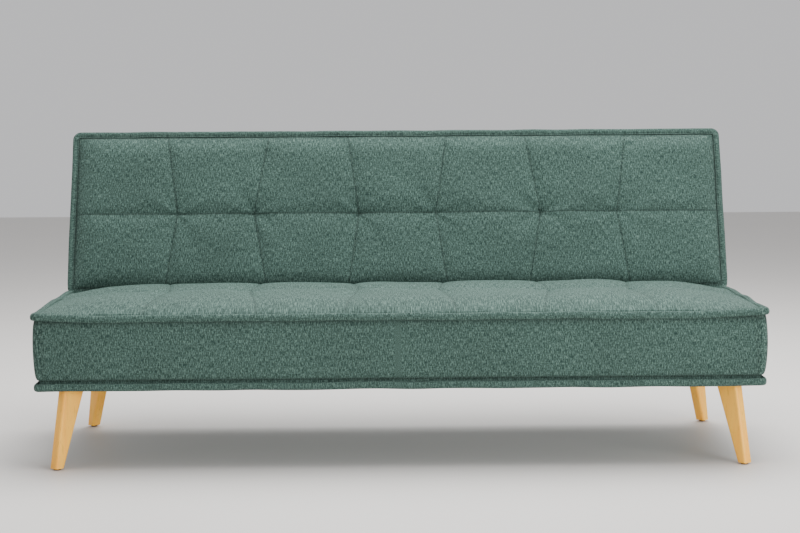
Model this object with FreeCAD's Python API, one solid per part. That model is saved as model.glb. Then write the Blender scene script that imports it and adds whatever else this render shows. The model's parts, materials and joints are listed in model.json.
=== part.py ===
"""Armless folding sofa on four splayed wooden legs, in millimetres.

The sofa faces -Y and +Z is up. The origin is on the floor, at the middle of the sofa's
bounding box. The backrest is drawn lying flat, in (x, along its height, out of its face),
and is then stood up on its hinge.
"""

import FreeCAD
import Part
import math
import os

V = FreeCAD.Vector

# ---- overall sizes
SOFA_WIDTH = 1800.0          # over the seat's top flange
SEAT_DEPTH = 634.0           # over the seat's top flange, front to rear
SEAT_EDGE_HEIGHT = 381.0     # floor to the middle of the top flange
WELT_BOTTOM = 195.0          # floor to the lowest edge of the cover
BACK_INSET = 6.0             # the backrest is this much narrower at each end
BACK_LENGTH = 456.6          # over the backrest's flange, along its slope
BACK_THICKNESS = 118.0       # flange plane to rear cover
BACK_RAKE = 15.0             # degrees behind the vertical at rest
BACK_FOOT_SETBACK = 85.3     # the backrest's lower flange to the seat's rear edge, at rest
BACK_FOOT_DROP = 9.0         # that flange lies this far below the seat's flange
BED_GAP = 6.0                # between the two flanges when the sofa is flat

# ---- cover
FLANGE_PROUD = 14.0          # flange beyond the boxing
FLANGE_LAND = 4.0            # flange over the boxing
FLANGE_THICK = 6.0
FLANGE_CORNER = 12.0
CLOTH = 3.0                  # cloth with its wadding
BOXING_BULGE = 9.0
BACK_BULGE = 6.0
BACK_BOTTOM_BULGE = 3.0      # flatter, as it passes over the seat's rear edge
SEAT_CROWN = 20.0
BACK_CROWN = 25.0
WELT_HEIGHT = 20.0
SEAT_WELT_THICK = 12.0
SEAT_WELT_PROUD = 9.0
BACK_WELT_THICK = 8.0
BACK_WELT_PROUD = 4.0
WELT_CORNER = 16.0
SEAM_GAP = 0.5               # between cover pieces that are sewn together
SIDE_CROWN = ((0.0, 0.05), (30.0, 0.45), (90.0, 0.8), (200.0, 1.0))    # inward, share of crown
SEAT_PROFILE = ((0, 0), (0.06, 0.5), (0.2, 0.9), (0.45, 1), (0.75, 0.95), (0.93, 0.7), (1, 0.3))
BACK_PROFILE = ((0, 0), (0.05, 0.2), (0.14, 0.55), (0.3, 0.9), (0.5, 1), (0.72, 0.9),
                (0.88, 0.6), (0.96, 0.3), (1, 0))
REAR_STEP = (102.0, 93.0)    # from the rear edge: where the top drops to pass under the backrest
REAR_STEP_DROP = 19.0
REAR_SLOPE_DROP = 33.0       # drop of the flange at the rear edge

# ---- timber frames
RAIL_THICK = 22.0
SEAT_RAIL_HEIGHT = 70.0
FRAME_INSET = 6.0            # boxing face to frame
FRAME_LIFT = 12.0            # frame above the welt's lower edge
DUST_COVER = 1.0
CROSS_RAIL_HEIGHT = 55.0
CROSS_RAIL_X = (-290.0, 290.0)
BLOCK_SIZE = 100.0
BLOCK_HEIGHT = 30.0
BACK_FOAM_DEPTH = 52.0       # flange plane to the front of the backrest's rails
BACK_CROSS_RAIL_STEP = 20.0  # cross rails stand back from the webbing

# ---- suspension and filling
SPRING_WIRE = 3.6
SPRING_COUNT = 8
SPRING_MARGIN = 155.0        # side rail to the outermost spring
SPRING_SWING = 30.0          # half the width of a zigzag spring
SPRING_BEND = 20.0
CLIP_CLEAR = 0.2
SPRING_CLEAR = 2.0           # spring above the rails
CLIP_LENGTH = 18.0
CLIP_WIDTH = 12.0
FELT_THICK = 4.0
FELT_CLEAR = 2.0
STRAP_WIDTH = 50.0
STRAP_THICK = 2.0
STRAP_COUNT = 9
STRAP_MARGIN = 130.0         # side rail to the outermost strap
TUFT_X = (-599.0, -391.5, -105.4, 105.4, 391.5, 599.0)
TIE_RADIUS = 1.5
TIE_CLEAR = 2.0

# ---- legs
LEG_INSET_X = 54.0           # seat flange to foot centre
LEG_INSET_Y = 20.0
LEG_TOP_WIDTH = 62.0
LEG_FOOT_WIDTH = 25.0
LEG_THICK = 28.0
LEG_SPLAY = 10.0             # degrees, seen from the front and from the side
LEG_ROUND = 6.0
GLIDE_HEIGHT = 4.0
GLIDE_RADIUS = 9.0
GLIDE_TAPER = 1.0
PLATE_SIZE = 80.0
PLATE_THICK = 2.5
PLATE_CORNER = 8.0
PLATE_OFFSET = (10.0, 12.0)  # plate centre inward of the leg's top centre, in x and y
PLATE_MARGIN = 3.0           # dust cover's cut-out round a leg plate
PLATE_SCREW_EDGE = 8.0
SCREW_RADIUS = 2.2
SCREW_HEAD = 4.2
SCREW_HEAD_HEIGHT = 2.0
SCREW_LENGTH = 22.0
HANGER_RADIUS = 4.0
HANGER_IN_LEG = 45.0
HANGER_IN_BLOCK = 24.0

# ---- folding mechanism
STEEL = 4.0                  # thickness of plates, arms and pawls
PLATE_TO_ARM = 4.0           # spacing collar between seat plate and arm
ARM_WIDTH = 26.0
ARM_REACH = 150.0            # arm's end, along the backrest
RATCHET_RADIUS = 26.0
NOTCH_DEPTH = 4.5
NOTCH_WIDTH = 8.0
PIN_RADIUS = 6.0
PIN_CLEARANCE = 0.05
COLLAR_RADIUS = 10.0
PIN_HEAD_THICK = 3.0
FLAT_ANGLE = -(90.0 - BACK_RAKE)
RECLINE_ANGLE = -38.0
FORWARD_ANGLE = 5.0
PAWL_BEARING = 196.0         # degrees from +Y, ratchet centre to pawl pin
PAWL_DISTANCE = 54.0
PAWL_HOOK = 26.0             # degrees from the pawl pin's bearing to its tooth
PAWL_PIN_RADIUS = 4.0
PAWL_EYE = 9.0
PAWL_LIFT = 18.0             # degrees between lifted and engaged
PAWL_WIDTH = 9.0
TOOTH_WIDTH = 4.0
TOOTH_CLEARANCE = 0.6
MECH_SLOT = 32.0             # width of the slots that clear the mechanism
MECH_SLOT_FRONT = 34.0       # slot in the foam ahead of the pawl pin
MECH_SLOT_DEPTH = 6.0        # slot below the foam's underside
MECH_SLOT_BEHIND = 20.0      # slot beyond the seat's rear edge
MECH_SLOT_STEP = 1.0         # open slot behind the foot of the step
FELT_SLOT_CLEAR = 4.0
ARM_CLEAR = 2.0              # round the arm where it passes through the cover
RAIL_NOTCH_CLEAR = 1.0       # round the arm where it passes the bottom rail
HEAD_CLEAR = 0.3             # pin heads and collars to the moving steel
SMALL_HEAD_RADIUS = 6.5
PLATE_FOOT = (12.0, 10.0)    # seat plate beyond its first and last bolt
PLATE_FOOT_HALF = 13.0       # seat plate below the bolts
PLATE_FOOT_ABOVE = 2.0       # seat plate's foot above the rail
BOLT_DROP = 14.0             # seat bolts below the rail's top
NECK_REACH = (14.0, 12.0)    # seat plate's neck beyond the hinge pin and the pawl pin
WEB_WIDTH = 30.0
BOLT_SHORT = 2.0             # seat bolts end this far inside the rail's outer face
BOLT_RADIUS = 4.0
BOLT_HEAD = 7.0
BOLT_HEAD_THICK = 4.0
SEAT_BOLT_Y = (-56.0, -34.0, -12.0)      # from the rear rail's inner face
BACK_BOLT_H = (66.0, 102.0, 138.0)
LEAF_THICK = 1.0
LEAF_DROP = 3.0              # leaf spring below the pawl's eye
LEAF_REACH = (16.0, 14.0)

# ---- places that follow from the sizes above
half_width = SOFA_WIDTH / 2
box_x = half_width - FLANGE_PROUD
box_front = FLANGE_PROUD
box_rear = SEAT_DEPTH - FLANGE_PROUD
flange_low = SEAT_EDGE_HEIGHT - FLANGE_THICK / 2
flange_high = SEAT_EDGE_HEIGHT + FLANGE_THICK / 2
frame_bottom = WELT_BOTTOM + FRAME_LIFT
frame_x = box_x - FRAME_INSET
frame_front = box_front + FRAME_INSET
frame_rear = box_rear - FRAME_INSET
rail_top = frame_bottom + SEAT_RAIL_HEIGHT
rail_inner_x = frame_x - RAIL_THICK
step_front = SEAT_DEPTH - REAR_STEP[0]
step_rear = SEAT_DEPTH - REAR_STEP[1]
spring_z = rail_top + SPRING_CLEAR + SPRING_WIRE / 2
felt_z = spring_z + SPRING_WIRE / 2 + FELT_CLEAR
foam_z = felt_z + FELT_THICK + 2 * SEAM_GAP
sin_rake = math.sin(math.radians(BACK_RAKE))
cos_rake = math.cos(math.radians(BACK_RAKE))
back_foot = V(0, SEAT_DEPTH - BACK_FOOT_SETBACK, SEAT_EDGE_HEIGHT - BACK_FOOT_DROP)
back_foot_flat = V(0, SEAT_DEPTH + BED_GAP, SEAT_EDGE_HEIGHT)
back_half = half_width - BACK_INSET
back_box_x = back_half - FLANGE_PROUD
back_low = FLANGE_PROUD
back_high = BACK_LENGTH - FLANGE_PROUD
mech_x = rail_inner_x - STEEL           # inner face of the seat plate
arm_x = mech_x - PLATE_TO_ARM - STEEL   # inner face of the arm
slot_mid = arm_x + STEEL
sofa_depth = (back_foot.y + sin_rake * (back_high + BACK_WELT_PROUD)
              + cos_rake * (BACK_THICKNESS + CLOTH))

parts = {}


def hinge_centre():
    """The one point about which the lower flange swings from rest to flat."""
    move = back_foot_flat - back_foot
    middle = (back_foot_flat + back_foot) * 0.5
    lever = 0.5 / math.tan(math.radians(FLAT_ANGLE) / 2)
    return middle + V(0, -move.z, move.y) * lever


hinge = hinge_centre()
hinge_local = hinge - back_foot_flat


def box(x0, x1, y0, y1, z0, z1):
    return Part.makeBox(x1 - x0, y1 - y0, z1 - z0, V(x0, y0, z0))


def rod(x0, x1, y, z, radius):
    return Part.makeCylinder(radius, x1 - x0, V(x0, y, z), V(1, 0, 0))


def post(x, y, z0, z1, radius):
    return Part.makeCylinder(radius, z1 - z0, V(x, y, z0))


def group(shapes):
    return Part.makeCompound(shapes)


def extrude_x(points, x0, x1):
    """A prism along X from (y, z) points."""
    corners = [V(x0, y, z) for y, z in points]
    return Part.Face(Part.makePolygon(corners + corners[:1])).extrude(V(x1 - x0, 0, 0))


def extrude_z(points, z0, z1):
    """A prism along Z from (x, y) points."""
    corners = [V(x, y, z0) for x, y in points]
    return Part.Face(Part.makePolygon(corners + corners[:1])).extrude(V(0, 0, z1 - z0))


def upright_edges(shape):
    return [e for e in shape.Edges
            if abs(e.Vertexes[0].X - e.Vertexes[-1].X) < 1e-6
            and abs(e.Vertexes[0].Y - e.Vertexes[-1].Y) < 1e-6]


def mirrored(shape):
    return shape.mirror(V(0, 0, 0), V(1, 0, 0))


def evenly(count, reach):
    """Places from -reach to +reach."""
    return [reach * (2 * number / (count - 1) - 1) for number in range(count)]


def both_sides(name, shape, place=None):
    """The same piece at the right (+X) and, mirrored, at the left."""
    if place:
        shape = place(shape)
    parts[name + "_right"] = shape
    parts[name + "_left"] = mirrored(shape)


def stand_up(shape):
    """From the backrest's own lying frame to its place on the sofa at rest."""
    copy = shape.copy()
    copy.rotate(V(0, 0, 0), V(1, 0, 0), 90 - BACK_RAKE)
    copy.translate(back_foot)
    return copy


def cut_all(names, tools):
    for name in names:
        parts[name] = parts[name].cut(tools)


# ---- shapes that the seat and the backrest share

def bulged_strip(base, depth, low, high, bulge):
    """A strip's cross-section as a face in the plane x = 0, bulging towards -Y."""
    middle = (low + high) / 2
    outer = Part.Arc(V(0, base, low), V(0, base - bulge, middle), V(0, base, high))
    inner = Part.Arc(V(0, base + depth, high), V(0, base + depth - bulge, middle),
                     V(0, base + depth, low))
    ends = [Part.makeLine(V(0, base, high), V(0, base + depth, high)),
            Part.makeLine(V(0, base + depth, low), V(0, base, low))]
    return Part.Face(Part.Wire([outer.toShape(), ends[0], inner.toShape(), ends[1]]))


def boxing_panel(half_length, low, high, bulge):
    """A boxing panel on the line y = 0, facing -Y, with both ends mitred."""
    reach = bulge + 2 * CLOTH
    strip = bulged_strip(0, CLOTH, low, high, bulge)
    strip.translate(V(-half_length - reach, 0, 0))
    strip = strip.extrude(V(2 * (half_length + reach), 0, 0))
    mitre = extrude_z([(-half_length - reach, -reach), (half_length + reach, -reach),
                       (half_length - reach, reach), (-half_length + reach, reach)],
                      low, high)
    return strip.common(mitre)


def boxing(half_x, y0, y1, low, high, bulges):
    """Four mitred panels round a rectangle: near, far, right, left."""
    turns = (0, 180, 90, -90)
    places = (V(0, y0, 0), V(0, y1, 0), V(half_x, (y0 + y1) / 2, 0), V(-half_x, (y0 + y1) / 2, 0))
    lengths = (half_x, half_x, (y1 - y0) / 2, (y1 - y0) / 2)
    panels = []
    for turn, place, length, bulge in zip(turns, places, lengths, bulges):
        panel = boxing_panel(length, low, high, bulge)
        panel.rotate(V(0, 0, 0), V(0, 0, 1), turn)
        panel.translate(place)
        panels.append(panel)
    return panels


def rectangle_ring(half_x, y0, y1, width, low, high, corner):
    outer = box(-half_x, half_x, y0, y1, low, high)
    outer = outer.makeFillet(corner, upright_edges(outer))
    inner = box(-half_x + width, half_x - width, y0 + width, y1 - width, low, high)
    return outer.cut(inner)


def lofted(stations, section):
    """A solid through one closed polygon of (y, z) points at each x."""
    wires = []
    for x, share in stations:
        corners = [V(x, y, z) for y, z in section(share)]
        wires.append(Part.makePolygon(corners + corners[:1]))
    return Part.makeLoft(wires, True, True)


def crown_stations(half_x):
    """Places along X and the share of the full crown that each one has."""
    left = [(-half_x + inset, share) for inset, share in SIDE_CROWN]
    right = [(half_x - inset, share) for inset, share in reversed(SIDE_CROWN)]
    return left + right


# ---- seat

def seat_top_line(share):
    """(y, z) points of the seat's top from the front flange to the rear flange."""
    inner = box_front + FLANGE_LAND
    crown = SEAT_CROWN * share
    run = step_front - inner
    line = [(inner + run * part, flange_high + crown * rise) for part, rise in SEAT_PROFILE]
    rear = box_rear - FLANGE_LAND
    return line + [(step_rear, flange_high - REAR_STEP_DROP),
                   (rear, flange_high - REAR_SLOPE_DROP + slope_rise(rear))]


def slope_rise(y):
    """Height of the sloping rear part at y above its lowest point, at the rear flange's edge."""
    share = (SEAT_DEPTH - y) / REAR_STEP[1]
    return share * (REAR_SLOPE_DROP - REAR_STEP_DROP)


def lowered(points, by):
    return [(y, z - by) for y, z in points]


def seat_cover_section(share):
    top = seat_top_line(share)
    return top + lowered(top, CLOTH)[::-1]


def seat_foam_section(share):
    top = lowered(seat_top_line(share), CLOTH + SEAM_GAP)
    return top + [(top[-1][0], foam_z), (top[0][0], foam_z)]


def flange_profile():
    """(y, z) outline of the seat's flange, seen from the side."""
    level = [(0, SEAT_EDGE_HEIGHT), (step_front, SEAT_EDGE_HEIGHT),
             (step_rear, SEAT_EDGE_HEIGHT - REAR_STEP_DROP),
             (SEAT_DEPTH, SEAT_EDGE_HEIGHT - REAR_SLOPE_DROP)]
    up = lowered(level, -FLANGE_THICK / 2)
    down = lowered(level, FLANGE_THICK / 2)
    return up + down[::-1]


def mechanism_slots(low, high, front):
    """The two spaces at the seat's rear that the arms and pawls move in."""
    right = box(slot_mid - MECH_SLOT / 2, slot_mid + MECH_SLOT / 2, front, SEAT_DEPTH + MECH_SLOT_BEHIND,
                low, high)
    return [right, mirrored(right)]


def make_seat_cover():
    slot_low = foam_z - MECH_SLOT_DEPTH
    slots = mechanism_slots(slot_low, SEAT_EDGE_HEIGHT - REAR_STEP_DROP + FLANGE_THICK,
                            hinge.y - PAWL_DISTANCE - MECH_SLOT_FRONT)
    open_slots = mechanism_slots(slot_low, SEAT_EDGE_HEIGHT, step_rear + MECH_SLOT_STEP)
    flange = extrude_x(flange_profile(), -half_width, half_width)
    plan = rectangle_ring(half_width, 0, SEAT_DEPTH, FLANGE_PROUD + FLANGE_LAND,
                          WELT_BOTTOM, flange_high, FLANGE_CORNER)
    parts["seat_top_flange"] = flange.common(plan).cut(open_slots)
    inset = box_x - FLANGE_LAND - SEAM_GAP
    stations = crown_stations(inset)
    parts["seat_cover_top"] = lofted(stations, seat_cover_section).cut(open_slots)
    parts["seat_foam"] = lofted(stations, seat_foam_section).cut(slots + open_slots)
    above = extrude_x([(step_front, flange_low), (step_rear, flange_low - REAR_STEP_DROP),
                       (SEAT_DEPTH, flange_low - REAR_SLOPE_DROP),
                       (SEAT_DEPTH, flange_high), (step_front, flange_high)],
                      -half_width, half_width)
    low = WELT_BOTTOM + WELT_HEIGHT + SEAM_GAP
    panels = boxing(box_x, box_front, box_rear, low, flange_low, [BOXING_BULGE] * 4)
    for side, panel in zip(("front", "rear", "right", "left"), panels):
        parts["seat_boxing_" + side] = panel.cut([above]) if side != "front" else panel
    parts["seat_boxing_rear"] = parts["seat_boxing_rear"].cut(open_slots)
    parts["seat_bottom_welt"] = rectangle_ring(
        box_x + SEAT_WELT_PROUD, box_front - SEAT_WELT_PROUD, box_rear + SEAT_WELT_PROUD,
        SEAT_WELT_THICK, WELT_BOTTOM, WELT_BOTTOM + WELT_HEIGHT, WELT_CORNER)


def make_seat_frame():
    parts["seat_rail_front"] = box(-rail_inner_x, rail_inner_x, frame_front,
                                   frame_front + RAIL_THICK, frame_bottom, rail_top)
    parts["seat_rail_rear"] = box(-rail_inner_x, rail_inner_x, frame_rear - RAIL_THICK,
                                  frame_rear, frame_bottom, rail_top)
    both_sides("seat_rail", box(rail_inner_x, frame_x, frame_front, frame_rear,
                                frame_bottom, rail_top))
    for number, x in enumerate(CROSS_RAIL_X, 1):
        parts["seat_cross_rail_%d" % number] = box(
            x - RAIL_THICK / 2, x + RAIL_THICK / 2, frame_front + RAIL_THICK,
            frame_rear - RAIL_THICK, frame_bottom, frame_bottom + CROSS_RAIL_HEIGHT)
    blocks = []
    front = frame_front + RAIL_THICK
    rear = frame_rear - RAIL_THICK
    for near, far in ((front, front + BLOCK_SIZE), (rear - BLOCK_SIZE, rear)):
        block = box(rail_inner_x - BLOCK_SIZE, rail_inner_x, near, far,
                    frame_bottom, frame_bottom + BLOCK_HEIGHT)
        blocks += [block, mirrored(block)]
    parts["seat_corner_blocks"] = group(blocks)


def zigzag_spring(x, y0, y1):
    """A sinuous spring: straight runs across, joined by half-round bends."""
    start = y0 + SPRING_BEND
    count = 2 * int((y1 - y0 - 2 * SPRING_BEND) / (4 * SPRING_BEND))
    pitch = (y1 - y0 - 2 * SPRING_BEND) / count
    bend = pitch / 2
    side = -1
    edges = [Part.makeLine(V(x, start, spring_z), V(x + SPRING_SWING - bend, start, spring_z))]
    for turn in range(count):
        y = start + pitch * turn
        side = -side
        edge_x = x + side * (SPRING_SWING - bend)
        edges.append(Part.Arc(V(edge_x, y, spring_z), V(edge_x + side * bend, y + bend, spring_z),
                              V(edge_x, y + pitch, spring_z)).toShape())
        last = x if turn == count - 1 else x - side * (SPRING_SWING - bend)
        edges.append(Part.makeLine(V(edge_x, y + pitch, spring_z), V(last, y + pitch, spring_z)))
    path = Part.Wire(edges)
    circle = Part.Wire([Part.makeCircle(SPRING_WIRE / 2, V(x, start, spring_z), V(1, 0, 0))])
    return path.makePipeShell([circle], True, False)


def make_suspension():
    spring_x = evenly(SPRING_COUNT, rail_inner_x - SPRING_MARGIN)
    front = frame_front + RAIL_THICK / 2
    rear = frame_rear - RAIL_THICK / 2
    parts["seat_springs"] = group([zigzag_spring(x, front, rear) for x in spring_x])
    clips = []
    for x in spring_x:
        for inward, edge in ((1, frame_front + RAIL_THICK), (-1, frame_rear - RAIL_THICK)):
            ends = sorted((edge - inward * CLIP_LENGTH, edge))
            clips.append(box(x - CLIP_WIDTH / 2, x + CLIP_WIDTH / 2, ends[0], ends[1],
                             rail_top, spring_z - SPRING_WIRE / 2 - CLIP_CLEAR))
    parts["seat_spring_clips"] = group(clips)
    felt_x = slot_mid - MECH_SLOT / 2 - FELT_SLOT_CLEAR
    parts["seat_felt"] = box(-felt_x, felt_x, frame_front, frame_rear, felt_z, felt_z + FELT_THICK)
    cover_low = frame_bottom - DUST_COVER
    cover = box(-frame_x, frame_x, frame_front, frame_rear, cover_low, frame_bottom)
    for name in ("leg_plate_front_right", "leg_plate_rear_right"):
        bounds = parts[name].BoundBox
        hole = box(bounds.XMin - PLATE_MARGIN, frame_x, bounds.YMin - PLATE_MARGIN,
                   bounds.YMax + PLATE_MARGIN, cover_low, frame_bottom)
        cover = cover.cut([hole, mirrored(hole)])
    parts["seat_dust_cover"] = cover


# ---- legs

def leg_solid(height, outward_y):
    """A flat tapered board, leaning out along the diagonal; its foot centre is at x = y = 0."""
    lean = math.sqrt(2) * math.tan(math.radians(LEG_SPLAY)) * height
    half_top = LEG_TOP_WIDTH / 2
    half_foot = LEG_FOOT_WIDTH / 2
    outline = [(half_foot, GLIDE_HEIGHT), (-half_foot, GLIDE_HEIGHT),
               (-lean - half_top, height), (-lean + half_top, height)]
    corners = [V(d, -LEG_THICK / 2, z) for d, z in outline]
    board = Part.Face(Part.makePolygon(corners + corners[:1])).extrude(V(0, LEG_THICK, 0))
    long_edges = [e for e in board.Edges
                  if abs(e.Vertexes[0].Z - e.Vertexes[-1].Z) > height / 2]
    board = board.makeFillet(LEG_ROUND, long_edges)
    board.rotate(V(0, 0, 0), V(0, 0, 1), 45 * outward_y)
    return board


def make_legs():
    height = frame_bottom - PLATE_THICK
    shift = math.tan(math.radians(LEG_SPLAY)) * height
    foot_x = half_width - LEG_INSET_X
    glides, screws, hangers = [], [], []
    for end, foot_y, out in (("front", LEG_INSET_Y, -1), ("rear", SEAT_DEPTH - LEG_INSET_Y, 1)):
        leg = leg_solid(height, out)
        leg.translate(V(foot_x, foot_y, 0))
        top_x = foot_x - shift
        top_y = foot_y - out * shift
        plate_x = top_x - PLATE_OFFSET[0]
        plate_y = top_y - out * PLATE_OFFSET[1]
        half = PLATE_SIZE / 2
        plate = box(plate_x - half, plate_x + half, plate_y - half, plate_y + half,
                    height, frame_bottom)
        plate = plate.makeFillet(PLATE_CORNER, upright_edges(plate))
        hanger = post(top_x, top_y, height - HANGER_IN_LEG, frame_bottom + HANGER_IN_BLOCK,
                      HANGER_RADIUS)
        inset = half - PLATE_SCREW_EDGE
        for dx, dy in ((-1, out), (-1, -out), (1, -out)):
            x = plate_x + dx * inset
            y = plate_y + dy * inset
            shank = post(x, y, height, height + SCREW_LENGTH, SCREW_RADIUS)
            head = post(x, y, height - SCREW_HEAD_HEIGHT, height, SCREW_HEAD)
            screw = shank.fuse(head)
            screws += [screw, mirrored(screw)]
            plate = plate.cut([shank])
        glide = Part.makeCone(GLIDE_RADIUS - GLIDE_TAPER, GLIDE_RADIUS, GLIDE_HEIGHT, V(foot_x, foot_y, 0))
        glides += [glide, mirrored(glide)]
        hangers += [hanger, mirrored(hanger)]
        both_sides("leg_" + end, leg.cut([hanger]))
        both_sides("leg_plate_" + end, plate.cut([hanger]))
    parts["foot_glides"] = group(glides)
    parts["leg_plate_screws"] = group(screws)
    parts["leg_hanger_bolts"] = group(hangers)
    cut_all(["seat_corner_blocks", "seat_rail_front", "seat_rail_rear"], screws + hangers)


# ---- backrest, drawn lying flat: y runs up the backrest, z out of its face

def back_top_line(share):
    inner = back_low + FLANGE_LAND
    outer = back_high - FLANGE_LAND
    crown = BACK_CROWN * share
    base = FLANGE_THICK / 2
    return [(inner + (outer - inner) * part, base + crown * rise) for part, rise in BACK_PROFILE]


def back_cover_section(share):
    top = back_top_line(share)
    return top + lowered(top, CLOTH)[::-1]


def back_foam_section(share):
    top = lowered(back_top_line(share), CLOTH + SEAM_GAP)
    return top + [(top[-1][0], strap_top + SEAM_GAP), (top[0][0], strap_top + SEAM_GAP)]


rail_rear = -BACK_THICKNESS + FRAME_INSET
rail_front = -BACK_FOAM_DEPTH
strap_top = rail_front + STRAP_THICK


def make_back_cover():
    plan = rectangle_ring(back_half, 0, BACK_LENGTH, FLANGE_PROUD + FLANGE_LAND,
                          -FLANGE_THICK / 2, FLANGE_THICK / 2, FLANGE_CORNER)
    parts["back_front_flange"] = stand_up(plan)
    stations = crown_stations(back_box_x - FLANGE_LAND - SEAM_GAP)
    parts["back_cover_front"] = stand_up(lofted(stations, back_cover_section))
    ties = []
    for x in TUFT_X:
        ties.append(post(x, BACK_LENGTH / 2, strap_top + SEAM_GAP,
                         FLANGE_THICK / 2 + BACK_CROWN - CLOTH - SEAM_GAP - TIE_CLEAR, TIE_RADIUS))
    parts["back_tuft_ties"] = stand_up(group(ties))
    parts["back_foam"] = stand_up(lofted(stations, back_foam_section).cut(ties))
    low = -BACK_THICKNESS + CLOTH
    high = -FLANGE_THICK / 2 - SEAM_GAP
    bulges = [BACK_BOTTOM_BULGE, BACK_BULGE, BACK_BULGE, BACK_BULGE]
    panels = boxing(back_box_x, back_low, back_high, low, high, bulges)
    half = ARM_WIDTH / 2 + ARM_CLEAR
    arm_hole = box(arm_x - ARM_CLEAR, arm_x + STEEL + ARM_CLEAR, 0, back_low + CLOTH,
                   hinge_local.z - half, hinge_local.z + half)
    panels[0] = panels[0].cut([arm_hole, mirrored(arm_hole)])
    for side, panel in zip(("bottom", "top", "right", "left"), panels):
        parts["back_boxing_" + side] = stand_up(panel)
    inner = CLOTH + SEAM_GAP
    parts["back_cover_rear"] = stand_up(box(
        -back_box_x + inner, back_box_x - inner, back_low + inner, back_high - inner,
        -BACK_THICKNESS, -BACK_THICKNESS + CLOTH))
    parts["back_rear_welt"] = stand_up(rectangle_ring(
        back_box_x + BACK_WELT_PROUD, back_low - BACK_WELT_PROUD, back_high + BACK_WELT_PROUD,
        BACK_WELT_THICK, -BACK_THICKNESS - CLOTH, -BACK_THICKNESS - SEAM_GAP, WELT_CORNER))


def make_back_frame():
    outer = back_box_x - CLOTH - SEAM_GAP
    inner = arm_x + STEEL
    low = back_low + FRAME_INSET
    high = back_high - FRAME_INSET
    both_sides("back_rail", box(inner, outer, low, high, rail_rear, rail_front), stand_up)
    bottom = box(-inner, inner, low, low + RAIL_THICK, rail_rear, rail_front)
    half = ARM_WIDTH / 2 + RAIL_NOTCH_CLEAR
    notch = box(arm_x - RAIL_NOTCH_CLEAR, inner, low, low + RAIL_THICK,
                hinge_local.z - half, hinge_local.z + half)
    parts["back_rail_bottom"] = stand_up(bottom.cut([notch, mirrored(notch)]))
    parts["back_rail_top"] = stand_up(box(-inner, inner, high - RAIL_THICK, high,
                                          rail_rear, rail_front))
    for number, x in enumerate(CROSS_RAIL_X, 1):
        parts["back_cross_rail_%d" % number] = stand_up(box(
            x - RAIL_THICK / 2, x + RAIL_THICK / 2, low + RAIL_THICK, high - RAIL_THICK,
            rail_rear, rail_front - BACK_CROSS_RAIL_STEP))
    straps = []
    for x in evenly(STRAP_COUNT, inner - STRAP_MARGIN):
        straps.append(box(x - STRAP_WIDTH / 2, x + STRAP_WIDTH / 2, low, high,
                          rail_front, strap_top))
    parts["back_webbing"] = stand_up(group(straps))


# ---- folding mechanism, at the right; the left is its mirror image

def turned(shape, angle, centre):
    copy = shape.copy()
    copy.rotate(centre, V(1, 0, 0), angle)
    return copy


def polar(centre, bearing, distance):
    angle = math.radians(bearing)
    return (centre.y + distance * math.cos(angle), centre.z + distance * math.sin(angle))


def bar(y0, z0, y1, z1, width, x0, thick):
    """A flat bar with round ends between two (y, z) points."""
    length = math.hypot(y1 - y0, z1 - z0)
    body = Part.makeBox(thick, length, width, V(x0, 0, -width / 2))
    body.rotate(V(0, 0, 0), V(1, 0, 0), math.degrees(math.atan2(z1 - z0, y1 - y0)))
    body.translate(V(0, y0, z0))
    ends = [rod(x0, x0 + thick, y0, z0, width / 2), rod(x0, x0 + thick, y1, z1, width / 2)]
    return body.fuse(ends).removeSplitter()


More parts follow.
